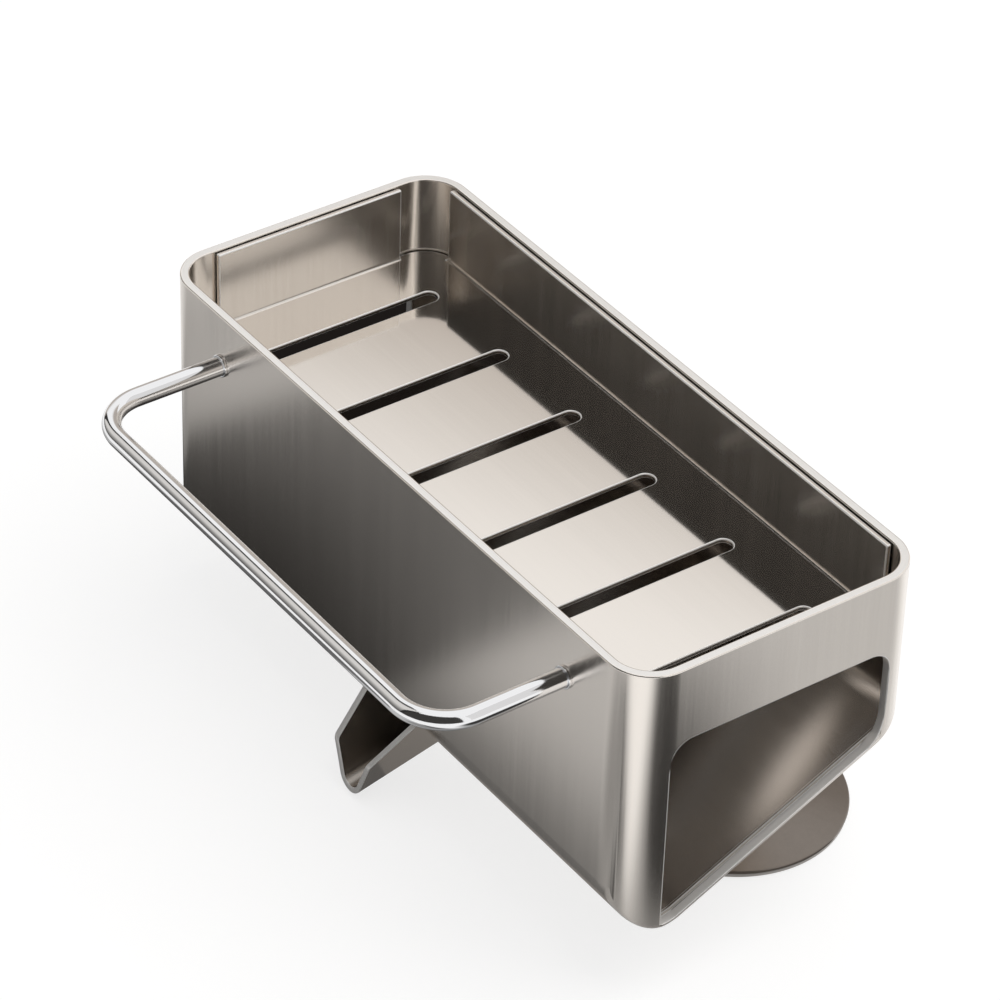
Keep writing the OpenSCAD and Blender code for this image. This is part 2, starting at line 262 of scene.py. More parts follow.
class StudioSettings(bpy.types.PropertyGroup):
    """Light of the studio"""

    fill: bpy.props.FloatProperty(
        name="Fill",
        description="Strength of the even light from all round",
        min=0.0,
        max=2.0,
        default=0.55,
    )
    lamp: bpy.props.FloatProperty(
        name="Lamp",
        description="Power of the soft lamp overhead",
        subtype="POWER",
        unit="POWER",
        min=0.0,
        max=500.0,
        default=18.0,
    )
    floor_glow: bpy.props.FloatProperty(
        name="Floor Glow",
        description="How far the floor shines by itself so that it looks white",
        min=0.0,
        max=1.0,
        default=0.72,
    )


# Meshes


def add_object(name, data):
    """A new object in the scene, at the origin"""
    made = bpy.data.objects.new(name, data)
    bpy.context.scene.collection.objects.link(made)
    return made


def mesh_object(name, points, faces, edges=()):
    """A new object with its place in its mesh"""
    mesh = bpy.data.meshes.new(name)
    mesh.from_pydata(points, edges, faces)
    mesh.update()
    return add_object(name, mesh)


def clean_faces(work):
    """Makes flat neighbours one face and turns all faces outwards"""
    bmesh.ops.dissolve_limit(
        work, angle_limit=FLAT_TURN, verts=work.verts, edges=work.edges
    )
    bmesh.ops.recalc_face_normals(work, faces=work.faces)


def merged_copy(node, name):
    """A copy of a CAD node with its loose triangles joined and its flat faces whole"""
    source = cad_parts[node].data
    points = [v.co.copy() for v in source.vertices]
    made = mesh_object(name, points, [list(p.vertices) for p in source.polygons])
    work = bmesh.new()
    work.from_mesh(made.data)
    bmesh.ops.remove_doubles(work, verts=work.verts, dist=ONE_POINT)
    bmesh.ops.dissolve_degenerate(work, edges=work.edges, dist=NO_LENGTH)
    clean_faces(work)
    work.to_mesh(made.data)
    work.free()
    return made


def solid_of(data):
    """A mesh that can be asked for its nearest point"""
    return BVHTree.FromPolygons(
        [v.co.copy() for v in data.vertices], [list(p.vertices) for p in data.polygons]
    )


def soften(piece, width, seams=()):
    """Breaks the sharp edges of a piece, which take its second material

    An edge that lies on one of the nodes in seams stays as it is.
    """
    solid = solid_of(piece.data)
    partners = [solid_of(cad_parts[node].data) for node in seams]
    work = bmesh.new()
    work.from_mesh(piece.data)
    weight = work.edges.layers.float.new("bevel_weight_edge")
    for edge in work.edges:
        if len(edge.link_faces) != 2 or edge.calc_face_angle(0.0) < SHARP_TURN:
            continue
        middle = (edge.verts[0].co + edge.verts[1].co) / 2
        closed = any(tree.find_nearest(middle)[3] < SEAM_GAP for tree in partners)
        edge.smooth = not closed
        edge[weight] = 0.0 if closed else 1.0
    for face in work.faces:
        face.smooth = True
    work.to_mesh(piece.data)
    work.free()
    bevel = piece.modifiers.new("Broken edges", "BEVEL")
    bevel.width = width
    bevel.segments = BREAK_STEPS
    bevel.limit_method = "WEIGHT"
    bevel.use_clamp_overlap = False
    bevel.miter_outer = "MITER_SHARP"
    bevel.material = EDGES
    even = piece.modifiers.new("Even normals", "WEIGHTED_NORMAL")
    even.mode = "FACE_AREA"
    even.weight = 100
    even.keep_sharp = True
    bake(piece)
    for vertex in piece.data.vertices:
        near, _, _, gap = solid.find_nearest(vertex.co)
        if gap > width:
            vertex.co = near


def bake(piece):
    """Turns a piece with modifiers into a plain mesh"""
    bpy.context.view_layer.update()
    graph = bpy.context.evaluated_depsgraph_get()
    made = bpy.data.meshes.new_from_object(
        piece.evaluated_get(graph), preserve_all_data_layers=True, depsgraph=graph
    )
    piece.modifiers.clear()
    piece.data = made


def dress(piece, *materials):
    """Gives a piece its materials: the first is its faces', the second its edges'"""
    slots = piece.data.materials
    slots.clear()
    for material in materials:
        slots.append(material)


# Node trees


def add_node(tree, kind, place, inputs=None, **settings):
    """Adds a node

    An input takes a value, another node's output, or a list of outputs.
    """
    made = tree.nodes.new(kind)
    made.location = place
    for name, value in settings.items():
        setattr(made, name, value)
    for name, value in (inputs or {}).items():
        if isinstance(value, bpy.types.NodeSocket):
            tree.links.new(value, made.inputs[name])
        elif isinstance(value, list):
            for source in value:
                tree.links.new(source, made.inputs[name])
        else:
            made.inputs[name].default_value = value
    return made


def calculate(tree, operation, first, second, place):
    """The result of a Math node on two outputs or numbers"""
    inputs = {0: first, 1: second}
    made = add_node(tree, "ShaderNodeMath", place, inputs, operation=operation)
    return made.outputs[0]


def noise(tree, place, vector, scale, detail, rough=0.5):
    """Noise at a scale, between nothing and one"""
    inputs = {"Vector": vector, "Scale": scale, "Detail": detail, "Roughness": rough}
    return add_node(tree, "ShaderNodeTexNoise", place, inputs).outputs["Fac"]


def map_range(tree, value, place, start=(0.0, 1.0), end=(0.0, 1.0), **settings):
    """A value brought from the range start into the range end"""
    inputs = {
        "Value": value,
        "From Min": start[0],
        "From Max": start[1],
        "To Min": end[0],
        "To Max": end[1],
    }
    made = add_node(tree, "ShaderNodeMapRange", place, inputs, **settings)
    return made.outputs["Result"]


def raised(tree, height, strength, depth):
    """The normal of a surface with a fine relief"""
    inputs = {"Height": height, "Strength": strength, "Distance": depth}
    return add_node(tree, "ShaderNodeBump", (-350, -150), inputs).outputs["Normal"]


def show(tree, shader, kind="ShaderNodeOutputMaterial"):
    """Ends a tree in a shader"""
    add_node(tree, kind, (450, 0), {"Surface": shader.outputs[0]})


def new_material(name):
    """A material with an empty node tree"""
    material = bpy.data.materials.new(name)
    material.use_nodes = True
    material.node_tree.nodes.clear()
    return material


def grain_group():
    """A tint, a roughness and a height that change over a surface in fine lines"""
    name = "Brushed grain"
    if name in bpy.data.node_groups:
        return bpy.data.node_groups[name]
    tree = bpy.data.node_groups.new(name, "ShaderNodeTree")
    for label, way, kind in (
        ("Vector", "INPUT", "Vector"),
        ("Across", "INPUT", "Float"),
        ("Tint Low", "INPUT", "Float"),
        ("Rough Low", "INPUT", "Float"),
        ("Rough High", "INPUT", "Float"),
        ("Tint", "OUTPUT", "Color"),
        ("Roughness", "OUTPUT", "Float"),
        ("Height", "OUTPUT", "Float"),
    ):
        tree.interface.new_socket(label, in_out=way, socket_type="NodeSocket" + kind)
    given = add_node(tree, "NodeGroupInput", (-900, 0)).outputs
    surface, across = given["Vector"], given["Across"]
    fine = noise(tree, (-500, 200), surface, across, detail=3.0, rough=0.65)
    wider = calculate(tree, "MULTIPLY", across, 0.23, (-700, -200))
    broad = noise(tree, (-500, -150), surface, wider, detail=2.0)
    both = calculate(tree, "ADD", fine, broad, (-250, 60))
    share = map_range(tree, both, (-60, 60), start=(0.6, 1.4))
    tint = map_range(tree, share, (200, 200), end=(given["Tint Low"], 1.0))
    gloss = (given["Rough Low"], given["Rough High"])
    rough = map_range(tree, share, (200, -60), end=gloss)
    results = {"Tint": tint, "Roughness": rough, "Height": fine}
    add_node(tree, "NodeGroupOutput", (700, 0), results)
    return tree


# Share of the grain along x, y and z: the small one is the way it was brushed
UPRIGHT = (1.0, 1.0, 0.02)
EVEN = (1.0, 1.0, 1.0)
METALS = {
    "brushed_body_steel": dict(
        colour="body_colour", grain=UPRIGHT, tint=0.94, rough=(0.20, 0.25), bump=0.08
    ),
    # Half metal, so that cut and broken edges look pale whatever they mirror: partly
    # their own cut finish, partly painted highlight
    "cut_edge_steel": dict(
        colour="edge_colour_and_highlight",
        grain=EVEN,
        tint=0.96,
        rough=(0.30, 0.36),
        bump=0.02,
        metallic=0.5,
    ),
    "satin_tray_steel": dict(
        colour="tray_colour",
        grain=(0.02, 1.0, 1.0),
        tint=0.97,
        rough=(0.06, 0.085),
        bump=0.02,
    ),
    "brushed_flange_steel": dict(
        colour="tray_colour", grain=UPRIGHT, tint=0.94, rough=(0.23, 0.27), bump=0.06
    ),
    "glossy_floor_steel": dict(
        colour="floor_colour",
        grain=(0.03, 1.0, 1.0),
        tint=0.96,
        rough=(0.19, 0.22),
    ),
    # Dark partly as turned steel and partly as painted shade under the body
    "turned_foot_steel": dict(
        colour="foot_colour_and_shade", grain=EVEN, tint=0.90, rough=(0.30, 0.34)
    ),
    "polished_bar_chrome": dict(
        colour="chrome_colour",
        grain=(0.4, 0.4, 0.4),
        tint=0.985,
        rough=(0.08, 0.10),
        bump=0.005,
        across=400.0,
    ),
    # Painted shade inside the spout's channel, which lies under the body
    "dark_spout_steel": dict(
        colour="spout_shade_colour", grain=EVEN, tint=0.95, rough=(0.20, 0.24)
    ),
    "plain_screw_steel": dict(
        colour="screw_colour",
        grain=(1.0, 1.0, 0.4),
        tint=0.88,
        rough=(0.22, 0.32),
        bump=0.1,
    ),
}


def metal(name):
    """A metal of the table, made once"""
    if name in bpy.data.materials:
        return bpy.data.materials[name]
    material = new_material(name)
    brushed_nodes(material.node_tree, **METALS[name])
    return material


def brushed_nodes(
    tree, colour, grain, tint, rough, bump=0.0, across=900.0, metallic=1.0
):
    """Brushed metal: its lowest tint, its range of roughness, and its lines' scale"""
    place = add_node(tree, "ShaderNodeTexCoord", (-1100, 0)).outputs["Object"]
    turn = add_node(
        tree, "ShaderNodeMapping", (-900, 0), {"Vector": place, "Scale": grain}
    )
    lines = add_node(
        tree,
        "ShaderNodeGroup",
        (-650, 0),
        {
            "Vector": turn.outputs["Vector"],
            "Across": across,
            "Tint Low": tint,
            "Rough Low": rough[0],
            "Rough High": rough[1],
        },
        node_tree=grain_group(),
    ).outputs
    own = getattr(bpy.context.scene.finish, colour)
    tinted = add_node(
        tree,
        "ShaderNodeMix",
        (-350, 150),
        {"Factor": 1.0, MIX_FIRST: (*own, 1.0), MIX_SECOND: lines["Tint"]},
        data_type="RGBA",
        blend_type="MULTIPLY",
    ).outputs[MIX_RESULT]
    shader = add_node(
        tree,
        "ShaderNodeBsdfPrincipled",
        (0, 0),
        {
            "Base Color": tinted,
            "Metallic": metallic,
            "Roughness": lines["Roughness"],
            "Normal": raised(tree, lines["Height"], bump, METAL_GRAIN),
        },
    )
    show(tree, shader)


def pad_silicone():
    """Pale matt silicone with a faint grain"""
    material = new_material("pale_silicone")
    tree = material.node_tree
    place = add_node(tree, "ShaderNodeTexCoord", (-900, 0)).outputs["Object"]
    grain = noise(tree, (-700, 0), place, scale=1400.0, detail=3.0)
    shader = add_node(
        tree,
        "ShaderNodeBsdfPrincipled",
        (0, 0),
        {
            "Base Color": (*bpy.context.scene.finish.pad_colour, 1.0),
            "Roughness": map_range(tree, grain, (-350, 120), end=(0.42, 0.6)),
            "Normal": raised(tree, grain, strength=0.3, depth=PAD_GRAIN),
        },
    )
    show(tree, shader)
    return material


# Geometry nodes


def geometry_tree(name, sizes, counts=()):
    """A geometry node tree with named inputs, and what its first node puts out"""
    tree = bpy.data.node_groups.new(name, "GeometryNodeTree")
    sockets = [("Geometry", way, "Geometry") for way in ("INPUT", "OUTPUT")]
    sockets += [(label, "INPUT", "Float") for label in sizes]
    sockets += [(label, "INPUT", "Int") for label in counts]
    for label, way, kind in sockets:
        tree.interface.new_socket(label, in_out=way, socket_type="NodeSocket" + kind)
    return tree, add_node(tree, "NodeGroupInput", (-1200, 0)).outputs


def geometry_piece(piece, tree, values):
    """Runs a geometry node tree on a piece and keeps the result as a plain mesh"""
    modifier = piece.modifiers.new(tree.name, "NODES")
    modifier.node_group = tree
    sockets = {
        item.name: item.identifier
        for item in tree.interface.items_tree
        if item.in_out == "INPUT"
    }
    for label, value in values.items():
        modifier[sockets[label]] = value
    bake(piece)


def closing_nodes(tree, geometry, material):
    """Realize Instances, Set Material and the end of a tree"""
    real = add_node(
        tree, "GeometryNodeRealizeInstances", (800, 0), {"Geometry": geometry}
    )
    paint = add_node(
        tree,
        "GeometryNodeSetMaterial",
        (1000, 0),
        {"Geometry": real.outputs["Geometry"], "Material": material},
    )
    add_node(
        tree, "NodeGroupOutput", (1200, 0), {"Geometry": paint.outputs["Geometry"]}
    )


def vector(tree, place, **axes):
    """A vector from outputs or numbers for X, Y and Z"""
    return add_node(tree, "ShaderNodeCombineXYZ", place, axes).outputs["Vector"]


def smoothed(tree, geometry):
    """A mesh that is shaded as a smooth one"""
    inputs = {"Geometry": geometry}
    made = add_node(tree, "GeometryNodeSetShadeSmooth", (400, 0), inputs)
    return made.outputs["Geometry"]


def rounded(tree, curve, radius, steps, place):
    """A curve with its corners rounded off in a number of steps"""
    return add_node(
        tree,
        "GeometryNodeFilletCurve",
        place,
        {"Curve": curve, "Radius": radius, "Count": steps},
        mode="POLY",
    ).outputs["Curve"]


def circle(tree, radius, steps, place):
    """A round line with a number of steps"""
    return add_node(
        tree,
        "GeometryNodeCurvePrimitiveCircle",
        place,
        {"Radius": radius, "Resolution": steps},
    ).outputs["Curve"]


def oblong(tree, width, height, place):
    """The line round an oblong"""
    return add_node(
        tree,
        "GeometryNodeCurvePrimitiveQuadrilateral",
        place,
        {"Width": width, "Height": height},
    ).outputs["Curve"]


def bar_tree(material):
    """A round bar that follows a line with rounded corners"""
    tree, given = geometry_tree("Bent bar", ("Radius", "Bend"))
    path = add_node(
        tree, "GeometryNodeMeshToCurve", (-900, 0), {"Mesh": given["Geometry"]}
    ).outputs["Curve"]
    line = rounded(tree, path, given["Bend"], BAR_BEND_STEPS, (-650, 0))
    ring = circle(tree, given["Radius"], BAR_ROUND_STEPS, (-650, -300))
    tube = add_node(
        tree,
        "GeometryNodeCurveToMesh",
        (-350, 0),
        {"Curve": line, "Profile Curve": ring, "Fill Caps": True},
    ).outputs["Mesh"]
    closing_nodes(tree, smoothed(tree, tube), material)
    return tree


def collar_tree(material):
    """A rounded ring at each point, with its axis from front to back"""
    tree, given = geometry_tree(
        "Collars", ("Inner Radius", "Outer Radius", "Length", "Edge")
    )
    outer, inner = given["Outer Radius"], given["Inner Radius"]
    thick = calculate(tree, "SUBTRACT", outer, inner, (-900, -200))
    total = calculate(tree, "ADD", outer, inner, (-900, -400))
    middle = calculate(tree, "MULTIPLY", total, 0.5, (-700, -400))
    section = oblong(tree, thick, given["Length"], (-700, -100))
    section = rounded(tree, section, given["Edge"], COLLAR_EDGE_STEPS, (-500, -100))
    line = circle(tree, middle, COLLAR_ROUND_STEPS, (-500, -400))
    ring = add_node(
        tree,
        "GeometryNodeCurveToMesh",
        (-250, -200),
        {"Curve": line, "Profile Curve": section},
    ).outputs["Mesh"]
    placed = add_node(
        tree,
        "GeometryNodeInstanceOnPoints",
        (50, 0),
        {
            "Points": given["Geometry"],
            "Instance": ring,
            "Rotation": (math.radians(90), 0.0, 0.0),
        },
    ).outputs["Instances"]
    closing_nodes(tree, smoothed(tree, placed), material)
    return tree


def slotted_sheet_tree(material):
    """A flat sheet inside an outline, with a row of slots with round ends"""
    tree, given = geometry_tree(
        "Slotted sheet",
        ("Pitch", "Slot Width", "Slot Length", "Middle", "Top", "Sheet"),
        ("Slots",),
    )
    outline = add_node(
        tree, "GeometryNodeMeshToCurve", (-900, 200), {"Mesh": given["Geometry"]}
    ).outputs["Curve"]

    gaps = calculate(tree, "SUBTRACT", given["Slots"], 1.0, (-1000, -200))
    half = calculate(tree, "MULTIPLY", gaps, -0.5, (-850, -200))
    first = calculate(tree, "MULTIPLY", half, given["Pitch"], (-700, -200))
    start = vector(tree, (-550, -200), X=first, Y=given["Middle"])
    step = vector(tree, (-550, -350), X=given["Pitch"])
    row = add_node(
        tree,
        "GeometryNodeMeshLine",
        (-400, -200),
        {"Count": given["Slots"], "Start Location": start, "Offset": step},
    ).outputs["Mesh"]

    # A little less than half the width, so that the corners of an end stay apart
    radius = calculate(tree, "MULTIPLY", given["Slot Width"], 0.499, (-700, -700))
    slot = oblong(tree, given["Slot Width"], given["Slot Length"], (-700, -500))
    slot = rounded(tree, slot, radius, ARC_STEPS, (-500, -500))
    slots = add_node(
        tree,
        "GeometryNodeInstanceOnPoints",
        (-200, -300),
        {"Points": row, "Instance": slot},
    ).outputs["Instances"]
    cut = add_node(
        tree, "GeometryNodeRealizeInstances", (-50, -300), {"Geometry": slots}
    ).outputs["Geometry"]

    lines = add_node(
        tree, "GeometryNodeJoinGeometry", (100, 0), {"Geometry": [outline, cut]}
    ).outputs["Geometry"]
    flat = add_node(
        tree, "GeometryNodeFillCurve", (200, 0), {"Curve": lines}, mode="TRIANGLES"
    ).outputs["Mesh"]
    lift = vector(tree, (200, -200), Z=given["Top"])
    top = add_node(
        tree,
        "GeometryNodeTransform",
        (350, 0),
        {"Geometry": flat, "Translation": lift},
    ).outputs["Geometry"]
    turned = add_node(
        tree, "GeometryNodeFlipFaces", (450, -200), {"Mesh": top}
    ).outputs["Mesh"]
    down = calculate(tree, "MULTIPLY", given["Sheet"], -1.0, (350, -400))
    drop = vector(tree, (450, -400), Z=down)
    under = add_node(
        tree,
        "GeometryNodeExtrudeMesh",
        (550, -200),
        {"Mesh": turned, "Offset": drop, "Offset Scale": 1.0, "Individual": False},
        mode="FACES",
    ).outputs["Mesh"]
    both = add_node(
        tree, "GeometryNodeJoinGeometry", (650, 0), {"Geometry": [top, under]}
    ).outputs["Geometry"]
    closed = add_node(
        tree,
        "GeometryNodeMergeByDistance",
        (720, 0),
        {"Geometry": both, "Distance": TRAY_GAP},
    )
    closing_nodes(tree, closed.outputs["Geometry"], material)
    return tree


def tray_outline(half_length, half_width, middle, size):
    """The floor's outline from above, drawn in where its bends begin"""
    inset = size.bend + size.sheet
    side, end = size.long_side / 2, size.short_side / 2
    radius = size.corner
    last = math.acos((side - half_length + radius) / radius)
    quarter = [(half_length - inset, end), (half_length, end)]
    for step in range(ARC_STEPS + 1):
        turn = last * step / ARC_STEPS
        along, across = radius * math.cos(turn), radius * math.sin(turn)
        quarter.append((half_length - radius + along, half_width - radius + across))
    quarter.append((side, half_width - inset))
    back = quarter + [(-x, y) for x, y in reversed(quarter)]
    line = back + [(-x, -y) for x, y in back]
    return [(x, y + middle, 0.0) for x, y in line]


def lies_in(face, joint):
    """Whether all corners of a face are corners of a joint"""
    return all(
        min((vertex.co - corner).length for corner in joint) < 2 * TRAY_GAP
        for vertex in face.verts
    )


def add_flange(work, turn, reach, middle, length, height, rest, size):
    """Joins a bent-up flange to the floor's sheet on the side that turn gives"""
    outer = size.bend + size.sheet
    rows = []
    for step in range(ARC_STEPS + 1):
        angle = math.radians(90 * step / ARC_STEPS)
        rows.append(
            [
                (radius * math.sin(angle), outer - radius * math.cos(angle))
                for radius in (outer, size.bend)
            ]
        )
    rows.append([(outer, size.sheet + height), (size.bend, size.sheet + height)])
    spin = Matrix.Rotation(turn, 4, "Z")
    rings = []
    for pair in rows:
        ring = []
        for end, side in ((-1, 0), (1, 0), (1, 1), (-1, 1)):
            out, up = pair[side]
            local = Vector((reach - outer + out, end * length / 2, rest + up))
            ring.append(work.verts.new(spin @ local + Vector((0.0, middle, 0.0))))
        rings.append(ring)
    for low, high in zip(rings, rings[1:]):
        for corner in range(4):
            after = (corner + 1) % 4
            work.faces.new((low[corner], low[after], high[after], high[corner]))
    work.faces.new(rings[-1])
    return [corner.co.copy() for corner in rings[0]]


# Operators for the pieces


class OBJECT_OT_body_shell(bpy.types.Operator):
    """The body's four walls with their rim and the two end windows"""

    bl_idname = "sponge_holder.body_shell"
    bl_label = "Body Shell"

    def execute(self, context):
        shell = merged_copy("outer_shell", "body_shell")
        dress(shell, metal("brushed_body_steel"), metal("cut_edge_steel"))
        radius = context.scene.finish.edge_radius
        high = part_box("outer_shell")[1]
        rim = high.z - NEAR
        # The rim and the window cuts take the pale edge finish, which is partly painted
        # highlight
        for polygon in shell.data.polygons:
            inside = high.x - abs(polygon.center.x)
            cut = NEAR < inside < WALL and abs(polygon.normal.x) < 0.1
            if polygon.center.z > rim or cut:
                polygon.material_index = EDGES
        soften(shell, radius, seams=["drip_floor"])
        for polygon in shell.data.polygons:
            slanting = 0.1 < polygon.normal.z < 0.96
            if slanting and polygon.center.z > rim - radius:
                polygon.material_index = FACES
        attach(shell, "holder")
        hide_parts("outer_shell")
        return {"FINISHED"}


class OBJECT_OT_drip_floor(bpy.types.Operator):
    """The sloping sheet that closes the body below, with its dams"""

    bl_idname = "sponge_holder.drip_floor"
    bl_label = "Drip Floor"

    def execute(self, context):
        sheet = merged_copy("drip_floor", "sloping_floor")
        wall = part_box("outer_shell")[1].x - WALL
        work = bmesh.new()
        work.from_mesh(sheet.data)
        for side in (-1, 1):
            bmesh.ops.bisect_plane(
                work,
                geom=work.verts[:] + work.edges[:] + work.faces[:],
                plane_co=(side * wall, 0.0, 0.0),
                plane_no=(side, 0.0, 0.0),
            )
        work.to_mesh(sheet.data)
        work.free()
        dress(
            sheet,
            metal("glossy_floor_steel"),
            metal("cut_edge_steel"),
            metal("brushed_body_steel"),
        )
        # The sill's ends at the windows take the pale edge finish, which is partly
        # painted highlight; the underside takes the body's steel
        for polygon in sheet.data.polygons:
            upward = polygon.normal.z
            if upward > 0.3 and abs(polygon.center.x) > wall:
                polygon.material_index = EDGES
            elif upward < 0.05:
                polygon.material_index = OTHER
        soften(sheet, context.scene.finish.edge_radius * 0.6, seams=["outer_shell"])
        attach(sheet, "holder")
        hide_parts("drip_floor")
        return {"FINISHED"}


class OBJECT_OT_drain_spout(bpy.types.Operator):
    """The open channel that leads the water in front of the body"""

    bl_idname = "sponge_holder.drain_spout"
    bl_label = "Drain Spout"

    def execute(self, context):
        spout = merged_copy("drain_spout", "spout_channel")
        dress(
            spout,
            metal("glossy_floor_steel"),
            metal("cut_edge_steel"),
            metal("dark_spout_steel"),
        )
        # Faces looking up inside the channel take painted shade; the mouth and the lips
        # take the pale edge finish, which is partly painted highlight
        for polygon in spout.data.polygons:
            across, forward, upward = polygon.normal
            beside = abs(polygon.center.x) > 5 * MM
            lip = upward > 0.3 and abs(across) < 0.5 and beside
            if forward < -0.6 or lip:
                polygon.material_index = EDGES
            elif upward > 0.05:
                polygon.material_index = OTHER
        soften(spout, context.scene.finish.edge_radius)
        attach(spout, "holder")
        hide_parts("drain_spout")
        return {"FINISHED"}


class OBJECT_OT_slotted_tray(bpy.types.Operator):
    """The tray that lifts out, with its row of slots and four flanges"""

    bl_idname = "sponge_holder.slotted_tray"
    bl_label = "Slotted Tray"

    def execute(self, context):
        low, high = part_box("slotted_tray")
        size = context.scene.tray
        half_length, half_width = (high.x - low.x) / 2, (high.y - low.y) / 2
        middle = (low.y + high.y) / 2
        top = low.z + size.sheet
        outline = tray_outline(half_length, half_width, middle, size)
        edges = [(i, (i + 1) % len(outline)) for i in range(len(outline))]
        tray = mesh_object("lift_out_tray", outline, [], edges)
        satin = metal("satin_tray_steel")
        geometry_piece(
            tray,
            slotted_sheet_tree(satin),
            {
                "Slots": size.slots,
                "Pitch": size.slot_pitch,
                "Slot Width": size.slot_width,
                "Slot Length": size.slot_length,
                "Middle": middle,
                "Top": top,
                "Sheet": size.sheet,
            },
        )
        work = bmesh.new()
        work.from_mesh(tray.data)
        joints = []
        for quarter, reach, length, height in (
            (0, half_length, size.short_side, size.low_flange),
            (1, half_width, size.long_side, size.tall_flange),
            (2, half_length, size.short_side, size.tall_flange),
            (3, half_width, size.long_side, size.low_flange),
        ):
            turn = math.radians(90 * quarter)
            joint = add_flange(work, turn, reach, middle, length, height, low.z, size)
            joints.append(joint)
        bmesh.ops.remove_doubles(work, verts=work.verts, dist=TRAY_GAP)
        inner = [f for f in work.faces if any(lies_in(f, joint) for joint in joints)]
        bmesh.ops.delete(work, geom=inner, context="FACES_ONLY")
        clean_faces(work)
        work.to_mesh(tray.data)
        work.free()
        dress(tray, satin, metal("cut_edge_steel"), metal("brushed_flange_steel"))
        for polygon in tray.data.polygons:
            flat = abs(polygon.normal.z) > 0.999 and polygon.center.z < top + NEAR
            polygon.material_index = FACES if flat else OTHER
        soften(tray, context.scene.finish.edge_radius)
        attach(tray, "tray")
        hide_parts("slotted_tray")
        return {"FINISHED"}


class OBJECT_OT_towel_bar(bpy.types.Operator):
    """The bent towel bar and the collars at its two ends"""

    bl_idname = "sponge_holder.towel_bar"
    bl_label = "Towel Bar"

    def execute(self, context):
        low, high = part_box("towel_bar")
        size = context.scene.bar
        radius = size.diameter / 2
        left, right = low.x + radius, high.x - radius
        front, back = low.y + radius, high.y
        height = (low.z + high.z) / 2
        line = ((left, back), (left, front), (right, front), (right, back))
        corners = [(x, y, height) for x, y in line]
        bar = mesh_object("bent_bar", corners, [], [(0, 1), (1, 2), (2, 3)])
        chrome = metal("polished_bar_chrome")
        geometry_piece(bar, bar_tree(chrome), {"Radius": radius, "Bend": size.bend})
        dress(bar, chrome)
        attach(bar, "holder")
        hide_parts("towel_bar")

        low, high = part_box("bar_collars")
        middle = (low.y + high.y) / 2
        rings = mesh_object(
            "collar_rings", [(left, middle, height), (right, middle, height)], []
        )
        geometry_piece(
            rings,
            collar_tree(chrome),
            {
                "Inner Radius": radius + COLLAR_FIT,
                "Outer Radius": (high.z - low.z) / 2,
                "Length": high.y - low.y,
                "Edge": 0.15 * MM,
            },
        )
        dress(rings, chrome)
        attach(rings, "holder")
        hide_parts("bar_collars")
        return {"FINISHED"}


class OBJECT_OT_feet(bpy.types.Operator):
    """The two turned feet"""

    bl_idname = "sponge_holder.feet"
    bl_label = "Feet"

    def execute(self, context):
        # The feet take a colour that is partly painted shade from the body above them
        steel = metal("turned_foot_steel")
        for side in ("left", "right"):
            base = merged_copy(side + "_foot_base", side + "_turned_foot")
            dress(base, steel, steel)
            soften(base, context.scene.finish.edge_radius)
            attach(base, "holder")
            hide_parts(side + "_foot_base")
        return {"FINISHED"}


class OBJECT_OT_carried_parts(bpy.types.Operator):
    """Finishes for the parts whose solids show as they are"""

    bl_idname = "sponge_holder.carried_parts"
    bl_label = "Ledges, Posts, Pads and Screws"

    def execute(self, context):
        for material, nodes in (
            (metal("brushed_body_steel"), ("front_ledge", "rear_ledge")),
            (metal("brushed_body_steel"), ("left_foot_post", "right_foot_post")),
            (pad_silicone(), ("left_foot_pad", "right_foot_pad")),
            (metal("plain_screw_steel"), ("bar_screws", "foot_screws", "foot_washers")),
        ):
            for node in nodes:
                dress(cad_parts[node], material)
        return {"FINISHED"}


# Stage

# A length past every wall of the room
ENDLESS = 10.0
# Warm tint of the painted reflections on the cards
PAINTED_REFLECTION_TINT = (1.0, 0.95, 0.90)
# The camera's place, its angles and its lens, solved on the edges in the photograph
EYE = (0.84206, -0.61468, 0.87402)
YAW, PITCH, ROLL = (math.radians(angle) for angle in (-53.65, 36.99, 1.98))
LENS = 165.72


class Patch(NamedTuple):
    """A soft patch where a card shows its painted light or shade, as an ellipsoid that
    may be turned about x

    The fade gives the shares of its radii where it starts and ends.
    """

    centre: tuple
    radii: tuple
    fade: tuple
    strength: float
    turn: float = 0.0


# Patches of painted shade on the floor's card, the floor's shadow round the object as
# the metals mirror it: x, y, radius along x and y, fade and strength
FLOOR_PAINTED_SHADE = (
    (-0.105, -0.095, 0.079, 0.200, (0.8, 1.0), 0.76),
    (-0.120, -0.045, 0.130, 0.090, (0.2, 1.0), 0.86),
    (-0.280, -0.110, 0.110, 0.140, (0.5, 1.0), 0.30),
    (0.010, -0.040, 0.180, 0.062, (0.3, 1.0), 0.76),
    (-0.060, -0.120, 0.230, 0.170, (0.75, 1.0), 0.46),
    (0.085, -0.130, 0.060, 0.075, (0.4, 1.0), 0.50),
    (0.121, -0.125, 0.022, 0.090, (0.3, 1.0), 0.78),
    (0.235, -0.003, 0.120, 0.086, (0.55, 1.30), 0.98),
    (0.240, 0.150, 0.170, 0.130, (0.4, 1.0), 0.46),
    (-0.050, 0.500, 0.800, 0.260, (0.4, 1.0), 0.50),
)


def flat_corners(left, front, right, back, height):
    """The corners of a level oblong"""
    line = ((left, front), (right, front), (right, back), (left, back))
    return [(x, y, height) for x, y in line]


def upright_corners(start, end, low, high):
    """The corners of an upright oblong over the line from start to end"""
    return [(*start, low), (*end, low), (*end, high), (*start, high)]


def floor_patch(x, y, along, across, fade, strength):
    """A patch that reaches from the floor up to any height"""
    return Patch((x, y, 0.0), (along, across, ENDLESS), fade, strength)


